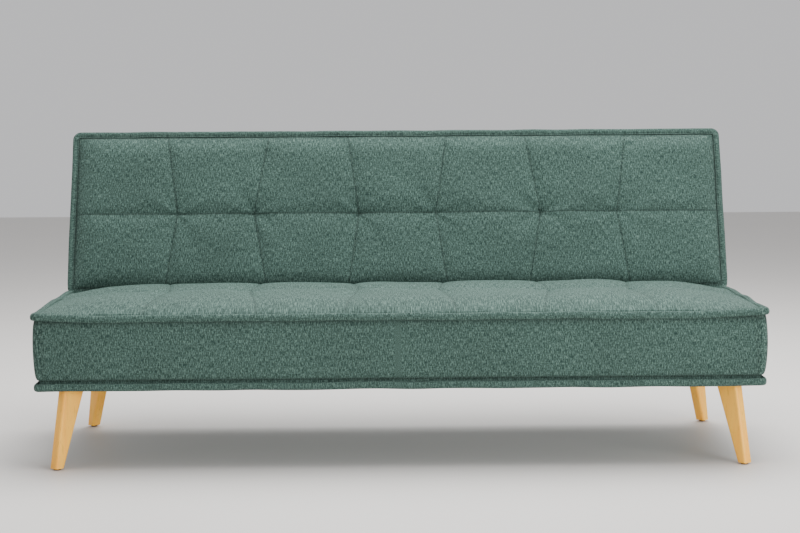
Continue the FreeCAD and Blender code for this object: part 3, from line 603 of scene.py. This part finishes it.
def makeSeatPad(plan=seatPlan):
    inset = flangeProud - plan["spread"]
    low, high = inset, seatDepth - inset
    half = boxHalf + plan["spread"]
    x, y, across, upDown, tufts = quiltGrid(half, low, plan["middleSeam"], high)
    slotRow = np.argmin(np.abs(y[:, 0] - slotY))
    y[slotRow] = slotY
    for edge in slotX:
        for row in range(slotRow, len(x)):
            for sign in (1, -1):
                x[row, np.argmin(np.abs(x[row] - sign * edge))] = sign * edge
    ramp = np.maximum(half - np.abs(x) - plan["sideStart"], 0) / plan["sideRoll"]
    sideRise = 1 - np.exp(-ramp ** plan["sidePower"])
    frontRise = 1 - np.exp(-(y - low) / plan["frontRoll"])
    edge = sideRise * frontRise
    seam = np.minimum(across, upDown)
    rise = plan["crown"] * edge
    rise -= plan["groove"] * np.exp(-seam / plan["grooveReach"]) * edge
    rise -= plan["crease"] * np.exp(-seam / plan["creaseReach"]) * edge
    rise -= tuftDips(x, y, tufts, plan["tufts"], plan["tuftReach"]) * edge
    rise += plan["folds"] * radiating(x, y, tufts, plan["foldReach"], seed=5) * edge
    rise += plan["wave"] * ripple(x, y, 23, plan["waveSize"]) * edge
    z = seatPlane + plan["lift"] + rise + alongLine(y, plan["rearLine"])
    rear = seatEdgeLine(y) + plan["rearLift"]
    z = np.where(y > plan["rearLine"][-1][0], rear, np.maximum(z, rear))
    top = np.stack([x.ravel(), y.ravel() + seatFrontY, z.ravel()], 1)
    pad = meshPiece("seatCushion", top, gridFaces(*x.shape), top[:, :2], topWeave)
    # painted shade in the quilting seams
    markSeamShade(pad, plan["seamShadeStrength"] * np.exp(-seam / plan["creaseReach"]))
    held = heldPoints(x, y, seam, tufts) | (y > plan["restsFrom"]).ravel()
    inflate(pad, held, plan["pressure"], plan["cap"])
    subdivide(pad)
    openSlots(pad)

    def skirt(place):
        return Vector((place.x, place.y, float(seatEdgeLine(place.y - seatFrontY)) - plan["skirt"]))

    closeBehind(pad, skirt)
    finishPiece(pad, "seat", ("seat_cover_top", "seat_foam"))


def carveSlots(piece):
    # room for both back arms at the seat's rear
    rear, top = seatFrontY + seatDepth + 0.03, seatPlane + 0.02
    for sign in (1, -1):
        x0, x1 = sorted((sign * slotX[0], sign * slotX[1]))
        carve(piece, (x0, seatFrontY + slotY, slotLow), (x1, rear, top))


cornerSteps = 8
bandStep = 0.012
boxStep = 0.014


def roundedLoop(halfX, low, high, corner, step=bandStep):
    # points and outward directions round a rectangle with rounded corners, from the middle of the low side
    points, outward = [], []

    def line(a, b, out):
        count = max(2, int(math.dist(a, b) / step))
        for i in range(count):
            t = i / count
            points.append((a[0] + (b[0] - a[0]) * t, a[1] + (b[1] - a[1]) * t))
            outward.append(out)

    def arc(cx, cy, start):
        for i in range(cornerSteps):
            a = math.radians(start + 90 * i / cornerSteps)
            points.append((cx + corner * math.cos(a), cy + corner * math.sin(a)))
            outward.append((math.cos(a), math.sin(a)))

    line((0, low), (halfX - corner, low), (0, -1))
    arc(halfX - corner, low + corner, -90)
    line((halfX, low + corner), (halfX, high - corner), (1, 0))
    arc(halfX - corner, high - corner, 0)
    line((halfX - corner, high), (-halfX + corner, high), (0, 1))
    arc(-halfX + corner, high - corner, 90)
    line((-halfX, high - corner), (-halfX, low + corner), (-1, 0))
    arc(-halfX + corner, low + corner, 180)
    line((-halfX + corner, low), (0, low), (0, -1))
    return np.array(points), np.array(outward)


def runLengths(points):
    # how far along the closed loop each of its points is
    steps = np.hypot(*(np.roll(points, -1, 0) - points).T)
    return np.concatenate([[0], np.cumsum(steps)])[:len(points)]


def offFrontY(points):
    # from y counted back from the seat's front to y in the frame
    return points + np.array([0, seatFrontY, 0])


def bandPiece(name, centre, outward, profile, lift, place, material, seamShade=()):
    # sweeps a profile of (out, up) points round a loop; lift is an (out, up) shift for each loop point
    # seamShade lists the profile points that lie in a seam; they are painted dark as shade
    count, size = len(centre), len(profile)
    length = runLengths(centre)
    girth = np.concatenate([[0], np.cumsum(np.hypot(*np.diff(np.array(profile), axis=0).T))])
    points, weave = [], []
    for i in range(count):
        for (out, up), g in zip(profile, girth):
            x, y = centre[i] + outward[i] * (out + lift[i][0])
            points.append((x, y, up + lift[i][1]))
            weave.append((length[i], g))
    faces = []
    for i in range(count):
        for k in range(size):
            a, b = i * size + k, i * size + (k + 1) % size
            c, d = ((i + 1) % count) * size + (k + 1) % size, ((i + 1) % count) * size + k
            faces.append((a, b, c, d))
    band = meshPiece(name, place(np.array(points)), faces, weave, material)
    markSeamShade(band, [float(k in seamShade) for _ in range(count) for k in range(size)])
    faceOutward(band)
    return band


def flangeProfile(proud, land, thick, droop=0.0):
    # a folded flange: a fat rounded lip outside the stitch line, a flatter land inside it
    half = thick / 2
    under = [(-land, -0.5), (0.0, -0.9), (proud * 0.4, -1.05), (proud * 0.75, -0.95), (proud * 0.95, -0.5)]
    nose = [(proud, 0.0), (proud * 0.95, 0.5)]
    over = [(proud * 0.75, 0.92), (proud * 0.45, 1.02), (proud * 0.18, 0.85)]
    stitchLine = [(proud * 0.04, 0.55)]
    inside = [(-proud * 0.1, 0.85), (-land * 0.6, 0.95), (-land, 0.6)]
    return [(o, half * u - droop * max(o, 0) / proud) for o, u in under + nose + over + stitchLine + inside]


stitchPoint = 10                                    # the stitch line's place in a flange profile


def thinned(points, middle, thin):
    # squeezes a band's points towards its middle height, by a share for each loop point
    rings = points.reshape(len(middle), -1, 3)
    rings[:, :, 2] = middle[:, None] + (rings[:, :, 2] - middle[:, None]) * thin[:, None]
    return rings.reshape(-1, 3)


def stitchRun(points, outward, up, stitchAt):
    # places of the stitches in a flange's stitch line
    return np.column_stack([points + outward * stitchAt[0], up])


stitchPlan = {"spacing": 0.0048, "length": 0.74, "radius": 0.0004, "segments": 6, "rings": 4}


def stitchTree(name, plan=stitchPlan):
    # geometry nodes: a row of short stitches along a curve
    tree = bpy.data.node_groups.new(name, "GeometryNodeTree")
    face = tree.interface
    face.new_socket("Line", in_out="INPUT", socket_type="NodeSocketGeometry")
    sockets = {}
    for label, value in (("Spacing", plan["spacing"]), ("Stitch length", plan["spacing"] * plan["length"]),
                         ("Thread radius", plan["radius"])):
        sockets[label] = face.new_socket(label, in_out="INPUT", socket_type="NodeSocketFloat")
        sockets[label].default_value = value
    sockets["Thread"] = face.new_socket("Thread", in_out="INPUT", socket_type="NodeSocketMaterial")
    face.new_socket("Stitches", in_out="OUTPUT", socket_type="NodeSocketGeometry")

    def add(kind, **settings):
        made = tree.nodes.new(kind)
        for key, value in settings.items():
            setattr(made, key, value)
        return made

    def link(a, outName, b, inName):
        tree.links.new(a.outputs[outName], b.inputs[inName])

    source, result = add("NodeGroupInput"), add("NodeGroupOutput")
    even = add("GeometryNodeResampleCurve", mode="LENGTH")
    link(source, "Line", even, "Curve")
    link(source, "Spacing", even, "Length")
    bead = add("GeometryNodeMeshUVSphere")
    bead.inputs["Segments"].default_value = plan["segments"]
    bead.inputs["Rings"].default_value = plan["rings"]
    bead.inputs["Radius"].default_value = 1.0
    half = add("ShaderNodeMath", operation="MULTIPLY")
    half.inputs[1].default_value = 0.5
    link(source, "Stitch length", half, 0)
    size = add("ShaderNodeCombineXYZ")
    link(source, "Thread radius", size, "X")
    link(source, "Thread radius", size, "Y")
    link(half, 0, size, "Z")
    spread = add("GeometryNodeInstanceOnPoints")
    toPoints = add("GeometryNodeCurveToPoints", mode="EVALUATED")
    link(even, "Curve", toPoints, "Curve")
    link(toPoints, "Points", spread, "Points")
    link(bead, "Mesh", spread, "Instance")
    align = add("FunctionNodeAlignRotationToVector", axis="Z")
    link(toPoints, "Tangent", align, "Vector")
    link(align, "Rotation", spread, "Rotation")
    link(size, "Vector", spread, "Scale")
    solid = add("GeometryNodeRealizeInstances")
    link(spread, "Instances", solid, "Geometry")
    paint = add("GeometryNodeSetMaterial")
    link(solid, "Geometry", paint, "Geometry")
    link(source, "Thread", paint, "Material")
    link(paint, "Geometry", result, "Stitches")
    return tree, {label: socket.identifier for label, socket in sockets.items()}


stitches, stitchInputs = stitchTree("stitchRow")


def stitchRow(name, points, body, closed=False, plan=stitchPlan):
    # the stitches along a line of points, as a piece of their own
    curve = bpy.data.curves.new(name + "Line", "CURVE")
    curve.dimensions = "3D"
    spline = curve.splines.new("POLY")
    spline.points.add(len(points) - 1)
    for point, place in zip(spline.points, points):
        point.co = (*place, 1)
    spline.use_cyclic_u = closed
    line = bpy.data.objects.new(name + "Line", curve)
    bpy.context.scene.collection.objects.link(line)
    modifier = line.modifiers.new("stitches", "NODES")
    modifier.node_group = stitches
    modifier[stitchInputs["Spacing"]] = plan["spacing"]
    modifier[stitchInputs["Stitch length"]] = plan["spacing"] * plan["length"]
    modifier[stitchInputs["Thread"]] = seamThread
    graph = bpy.context.evaluated_depsgraph_get()
    mesh = bpy.data.meshes.new_from_object(line.evaluated_get(graph), depsgraph=graph)
    bpy.data.objects.remove(line)
    row = bpy.data.objects.new(name, mesh)
    bpy.context.scene.collection.objects.link(row)
    finishPiece(row, body)


seatFlangePlan = {
    "land": 0.006,            # flat part over the boxing
    "thick": 0.0180,
    "droop": 0.0035,          # the lip hangs this far
    "sag": 0.0062,            # along the front, away from the corners
    "sagReach": 0.07,
    "sideRise": 0.002,
    "ears": 0.0042,           # the corners stand out this far
    "earReach": 0.03,
    "corner": 0.006,
    "wave": 0.0021,
    "waver": 0.0006,          # unevenness of the edge
    "rearStart": 0.50,        # behind this it is thinner, to pass under the backrest
    "rearRamp": 0.05,
    "rearThin": 0.45,
    "rearDraw": 0.001,
    "stitchEnd": 0.53,
}


def makeSeatFlange(plan=seatFlangePlan):
    points, outward = roundedLoop(boxHalf, flangeProud, seatDepth - flangeProud, plan["corner"])
    profile = flangeProfile(flangeProud, plan["land"], plan["thick"], plan["droop"])
    x, y = points.T
    fromCorner = boxHalf - np.abs(x) + np.minimum(y - flangeProud, seatDepth - flangeProud - y)
    sag = plan["sag"] * (1 - np.exp(-fromCorner / plan["sagReach"]))
    rear = np.clip((y - plan["rearStart"]) / plan["rearRamp"], 0, 1)
    wave = plan["wave"] * ripple(x, y, 41, 0.17)
    sides = np.clip((y - flangeProud) / 0.08, 0, 1) * (np.abs(x) > boxHalf - 0.03)
    up = seatEdgeLine(y) + (wave - sag * (1 - sides) + plan["sideRise"] * sides) * (1 - rear)
    out = plan["waver"] * ripple(x, y, 43, 0.11) + plan["ears"] * np.exp(-fromCorner / plan["earReach"])
    lift = np.stack([out - plan["rearDraw"] * rear, up], 1)
    thin = 1 - plan["rearThin"] * rear

    def place(p):
        return offFrontY(thinned(p, up, thin))

    # the underside by the boxing and the stitch line are painted dark as shade
    band = bandPiece("seatFlange", points, outward, profile, lift, place, greenWeave, (0, 1, stitchPoint))
    subdivide(band)
    carveSlots(band)
    stitchAt = profile[stitchPoint]
    run = offFrontY(stitchRun(points, outward, up + stitchAt[1] * thin, stitchAt))[y < plan["stitchEnd"]]
    gaps = np.linalg.norm(np.diff(run, axis=0), axis=1)
    run = np.roll(run, -1 - int(np.argmax(gaps)), axis=0)       # starts behind the open rear
    stitchRow("seatFlangeStitches", run, "seat")
    finishPiece(band, "seat", ("seat_top_flange",))


backFlangePlan = {
    "land": 0.004,
    "thick": 0.0085,
    "lowThick": 0.0062,       # along the foot, where it passes the seat
    "lowDraw": 0.0012,
    "corner": 0.008,
    "wave": 0.0010,
    "waver": 0.0006,
    "draw": 0.0003,
}


def makeBackFlange(plan=backFlangePlan):
    points, outward = roundedLoop(backBoxHalf, flangeProud, backLength - flangeProud, plan["corner"])
    profile = flangeProfile(flangeProud, plan["land"], plan["thick"])
    x, h = points.T
    low = h < flangeProud + 0.02
    wave = plan["wave"] * ripple(x, h, 51, 0.2) * (1 - low)
    edge = plan["waver"] * ripple(x, h, 53, 0.13)
    lift = np.stack([edge - plan["draw"] - plan["lowDraw"] * low, wave], 1)
    thin = np.where(low, plan["lowThick"] / plan["thick"], 1)

    def place(p):
        return toBack(thinned(p, wave, thin))

    # the underside, the stitch line and the land by the pad are painted dark as shade
    seamShade = (1, stitchPoint, 12, 13)
    band = bandPiece("backFlange", points, outward, profile, lift, place, greenWeave, seamShade)
    subdivide(band)
    stitchAt = profile[stitchPoint]
    run = toBack(stitchRun(points, outward, wave + stitchAt[1], stitchAt))
    stitchRow("backFlangeStitches", run, "backrest", closed=True)
    finishPiece(band, "backrest", ("back_front_flange",))


weltPlan = {
    "thick": 0.012,
    "corner": 0.016,
    "tall": 0.020,
    "spread": 0.0035,         # it stands this far outside the frame's own welt
    "wave": 0.0008,
}


def makeSeatWelt(plan=weltPlan):
    front, rear = weltLow.y - seatFrontY, weltHigh.y - seatFrontY
    points, outward = roundedLoop(weltHigh.x, front, rear, plan["corner"])
    x, y = points.T
    t, h = plan["thick"], plan["tall"]
    profile = [(-t, 0.002), (-t * 0.6, 0.0), (-t * 0.2, 0.0012), (-0.0002, 0.005), (0.0, h * 0.5),
               (-0.0004, h * 0.75), (-t * 0.22, h * 0.95), (-t * 0.55, h), (-t, h * 0.96)]
    out = plan["wave"] * ripple(x, y, 63, 0.15) + plan["spread"]
    lift = np.stack([out, plan["wave"] * ripple(x, y, 61, 0.23) + weltLow.z], 1)
    # the welt's top, where it meets the boxing, is painted dark as shade
    band = bandPiece("seatWelt", points, outward, profile, lift,
                     offFrontY, greenWeave, (7, 8))
    subdivide(band)
    finishPiece(band, "seat", ("seat_bottom_welt",))


def boxedBody(name, half, low, high, corner, levels, heights, bulge, seamShade, place, material):
    # rings of a rounded rectangle stacked between two heights; bulge() moves each point out and seamShade()
    # tells how dark it is painted as shade at the seams
    points, outward = roundedLoop(half, low, high, corner, boxStep)
    count = len(points)
    length = runLengths(points)
    verts, weave, marks = [], [], []
    for share in levels:
        marks.append(seamShade(share, points[:, 0]))
        out = bulge(share, points[:, 0], points[:, 1], length)
        z = heights(share, points[:, 1])
        verts.append(np.column_stack([points + outward * out[:, None], z]))
        weave.append(np.column_stack([length, z]))
    faces = []
    rings = len(levels)
    for r in range(rings - 1):
        for i in range(count):
            j = (i + 1) % count
            faces.append((r * count + i, r * count + j, (r + 1) * count + j, (r + 1) * count + i))
    faces.append(tuple(range(count - 1, -1, -1)))
    faces.append(tuple((rings - 1) * count + i for i in range(count)))
    body = meshPiece(name, place(np.vstack(verts)), faces, np.vstack(weave), material)
    markSeamShade(body, np.concatenate(marks))
    faceOutward(body)
    return body


seatBodyPlan = {
    "bulge": 0.0120,
    "sideBulge": 0.0135,
    "corner": 0.010,
    "wave": 0.0012,
    "weltLine": 0.115,        # height of the lower seam, as a share
    "tuck": 0.002,            # how far that seam pulls in
    "flangeLine": 0.885,      # from here up the cloth lies in the shade of the flange's seam
    "cornerSeam": 0.012,      # upright seams this far inside the boxing's ends
    "cornerSeamDepth": 0.0018,
    "cornerSeamReach": 0.004,
    "base": 0.004,            # above the welt's lower edge
}


def makeSeatBody(plan=seatBodyPlan):
    base = weltLow.z + plan["base"]
    line = plan["weltLine"]
    levels = np.concatenate([[0, 0.02, 0.05, 0.08, 0.1, line, 0.13, 0.15], np.linspace(0.18, 0.92, 18),
                             [0.95, 0.975, 1.0]])
    seamX = boxHalf - plan["cornerSeam"]

    def bulge(share, x, y, length):
        size = np.where(np.abs(x) > seamX, plan["sideBulge"], plan["bulge"])
        body = math.sin(math.pi * max(share - line, 0) / (1 - line)) ** 0.3 * size
        tuck = math.exp(-((share - line) / 0.028) ** 2) + math.exp(-(1 - share) / 0.03)
        wave = plan["wave"] * ripple(length, np.full(x.shape, share * 0.18), 71, 0.16, stretch=(1, 0.6))
        ends = (np.abs(y - flangeProud) < 0.015) | (np.abs(y - seatDepth + flangeProud) < 0.015)
        groove = np.exp(-((np.abs(x) - seamX) / plan["cornerSeamReach"]) ** 2) * ends
        pulled = plan["tuck"] * tuck + plan["cornerSeamDepth"] * groove
        return body + wave * math.sin(math.pi * share) - pulled

    def heights(share, y):
        top = seatEdgeLine(y) - 0.001 - 0.003 * (y > 0.52)
        return base + (top - base) * share

    # painted shade at the upright corner seams, under the flange and above the welt
    def seamShade(share, x):
        upright = np.exp(-((np.abs(x) - seamX) / 0.003) ** 2) * 0.6
        under = 1 / (1 + math.exp((plan["flangeLine"] - share) / 0.012))
        return np.maximum(upright, under + math.exp(-((share - line) / 0.018) ** 2))

    body = boxedBody("seatBoxing", boxHalf, flangeProud, seatDepth - flangeProud, plan["corner"], levels,
                     heights, bulge, seamShade, offFrontY, greenWeave)
    carveSlots(body)
    finishPiece(body, "seat",
                ("seat_boxing_front", "seat_boxing_rear", "seat_boxing_left", "seat_boxing_right"))


backBodyPlan = {
    "bulge": 0.006,
    "lowBulge": 0.003,        # along the foot
    "corner": 0.016,
    "wave": 0.0010,
    "rearTuck": 0.003,
    "frontTuck": 0.002,
    "tuckReach": 0.03,
    "seamReach": 0.02,
}


def makeBackBody(plan=backBodyPlan):
    levels = np.concatenate([[0, 0.03, 0.07], np.linspace(0.12, 0.88, 12), [0.93, 0.97, 1.0]])

    def bulge(share, x, y, length):
        size = np.where(y < flangeProud + 0.03, plan["lowBulge"], plan["bulge"])
        body = math.sin(math.pi * share) ** 0.7 * size if 0 < share < 1 else size * 0
        wave = plan["wave"] * ripple(length, np.full(x.shape, share * 0.12), 81, 0.15)
        reach = plan["tuckReach"]
        tuck = plan["rearTuck"] * math.exp(-share / reach)
        tuck = tuck + plan["frontTuck"] * math.exp(-(1 - share) / reach)
        return body + wave * math.sin(math.pi * share) * (size / plan["bulge"]) - tuck

    def heights(share, y):
        return np.full(y.shape, -backDepth + (backDepth - flangeHalfThick) * share)

    # painted shade along the boxing's front and rear seams
    def seamShade(share, x):
        reach = plan["seamReach"]
        return np.full(x.shape, math.exp(-share / reach) + math.exp(-(1 - share) / reach))

    top = backLength - flangeProud
    body = boxedBody("backBoxing", backBoxHalf, flangeProud, top, plan["corner"], levels,
                     heights, bulge, seamShade, toBack, greenWeave)
    finishPiece(body, "backrest",
                ("back_boxing_top", "back_boxing_bottom", "back_boxing_left", "back_boxing_right"))


rearPlan = {
    "inset": 0.006,           # edge of the panel inside the boxing
    "columns": 121,
    "rows": 33,
    "proud": 0.0008,
    "fullness": 0.0018,
    "wave": 0.0009,
    "thick": 0.004,
}


def makeBackRear(plan=rearPlan):
    # the plain panel behind, drawn over the frame
    inset = flangeProud + plan["inset"]
    x, h = np.meshgrid(np.linspace(-backHalf + inset, backHalf - inset, plan["columns"]),
                       np.linspace(inset, backLength - inset, plan["rows"]))
    side = np.minimum(backHalf - inset - np.abs(x), np.minimum(h - inset, backLength - inset - h))
    n = -backDepth - plan["proud"] - plan["fullness"] * (1 - np.exp(-side / 0.03))
    n = n + plan["wave"] * ripple(x, h, 91, 0.25) * (1 - np.exp(-side / 0.05))
    rear = np.stack([x.ravel(), h.ravel(), n.ravel()], 1)
    panel = meshPiece("backRearPanel", toBack(rear), gridFaces(*x.shape), rear[:, :2], greenWeave)
    subdivide(panel)
    inward = Vector((0, -sinStand, cosStand)) * plan["thick"]
    closeBehind(panel, lambda place: place + inward)
    finishPiece(panel, "backrest", ("back_cover_rear",))


rearWeltPlan = {
    "radius": 0.0032,
    "sides": 10,
    "spread": 0.002,          # its middle outside the boxing
    "sunk": 0.001,
    "lift": 0.0004,
    "corner": 0.014,
}


def makeBackRearWelt(plan=rearWeltPlan):
    # the narrow welt round the rear panel
    spread, r = plan["spread"], plan["radius"]
    loop, outward = roundedLoop(backBoxHalf + spread, flangeProud - spread,
                                backLength - flangeProud + spread, plan["corner"])
    turns = np.linspace(0, 2 * math.pi, plan["sides"] + 1)[:-1]
    profile = [(r * math.cos(a) - plan["sunk"], r * math.sin(a)) for a in turns]
    lift = np.stack([np.zeros(len(loop)), np.full(len(loop), plan["lift"] - backDepth)], 1)
    cord = bandPiece("backRearWelt", loop, outward, profile, lift, toBack, greenWeave)
    subdivide(cord)
    finishPiece(cord, "backrest", ("back_rear_welt",))


studio = {
    "floor": (0.62, 0.60, 0.575),
    "floorHalf": 9,
    "sky": (0.80, 0.80, 0.815),
    "skyStrength": 0.85,
    "lights": (                             # name, watts, size, place, aim
        ("topLight", 315.0, 3.4, (0.4, 0.55, 3.2), (0, 0.1, 0.3)),
        ("keyLight", 185.0, 2.2, (3.2, -3.9, 1.0), (0, 0, 0.30)),
        ("fillLight", 18.0, 2.6, (-3.4, -3.4, 1.2), (0, 0, 0.3)),
    ),
}


def makeStudio(plan=studio):
    far = plan["floorHalf"]
    corners = [(-far, -far, 0), (far, -far, 0), (far, far, 0), (-far, far, 0)]
    m = Maker("paleFloor")
    where = m.node("ShaderNodeTexCoord", {}, {}, 3)
    cloud = m.noise(where, 1.2, 3.0, 0.5)
    color = m.mix(m.smooth(cloud, 0.3, 0.7) * 0.2, plan["floor"], tuple(0.93 * c for c in plan["floor"]))
    matte = m.finish({}, color, 0.55)
    floor = meshPiece("studioFloor", corners, [(0, 1, 2, 3)], material=matte, smooth=False)
    world = bpy.data.worlds.new("studio")
    bpy.context.scene.world = world
    world.use_nodes = True
    sky = world.node_tree.nodes["Background"]
    sky.inputs[0].default_value = (*plan["sky"], 1)
    sky.inputs[1].default_value = plan["skyStrength"]
    for name, power, size, place, aim in plan["lights"]:
        light = bpy.data.lights.new(name, "AREA")
        light.energy = power
        light.size = size
        lamp = bpy.data.objects.new(name, light)
        bpy.context.scene.collection.objects.link(lamp)
        lamp.location = place
        lamp.rotation_euler = (Vector(aim) - Vector(place)).to_track_quat("-Z", "Y").to_euler()


cameraPlan = {
    "place": (-0.0533, -4.430, 0.9168),     # y from the seat's front
    "turn": 0.0118,                         # radians
    "tilt": 0.0945,
    "roll": -0.0065,
    "lens": 82.59,
}


def makeCamera(plan=cameraPlan):
    turn, tilt, roll = plan["turn"], plan["tilt"], plan["roll"]
    ahead = Vector((math.sin(turn) * math.cos(tilt), math.cos(turn) * math.cos(tilt), -math.sin(tilt)))
    right = Vector((math.cos(turn), -math.sin(turn), 0))
    up = right.cross(ahead)
    x = right * math.cos(roll) + up * math.sin(roll)
    y = up * math.cos(roll) - right * math.sin(roll)
    data = bpy.data.cameras.new("camera")
    data.lens = plan["lens"]
    data.sensor_width = 36
    camera = bpy.data.objects.new("camera", data)
    bpy.context.scene.collection.objects.link(camera)
    matrix = Matrix((x, y, -ahead)).transposed().to_4x4()
    matrix.translation = Vector(plan["place"]) + Vector((0, seatFrontY, 0))
    camera.matrix_world = matrix
    bpy.context.scene.camera = camera


makeCamera()
makeStudio()
print("studio ready")
dressCadNodes()
print("frame parts dressed")
makeSeatBody()
makeSeatPad()
makeSeatFlange()
makeSeatWelt()
print("seat upholstered")
makeBackBody()
makeBackPad()
makeBackFlange()
makeBackRear()
makeBackRearWelt()
print("backrest upholstered")
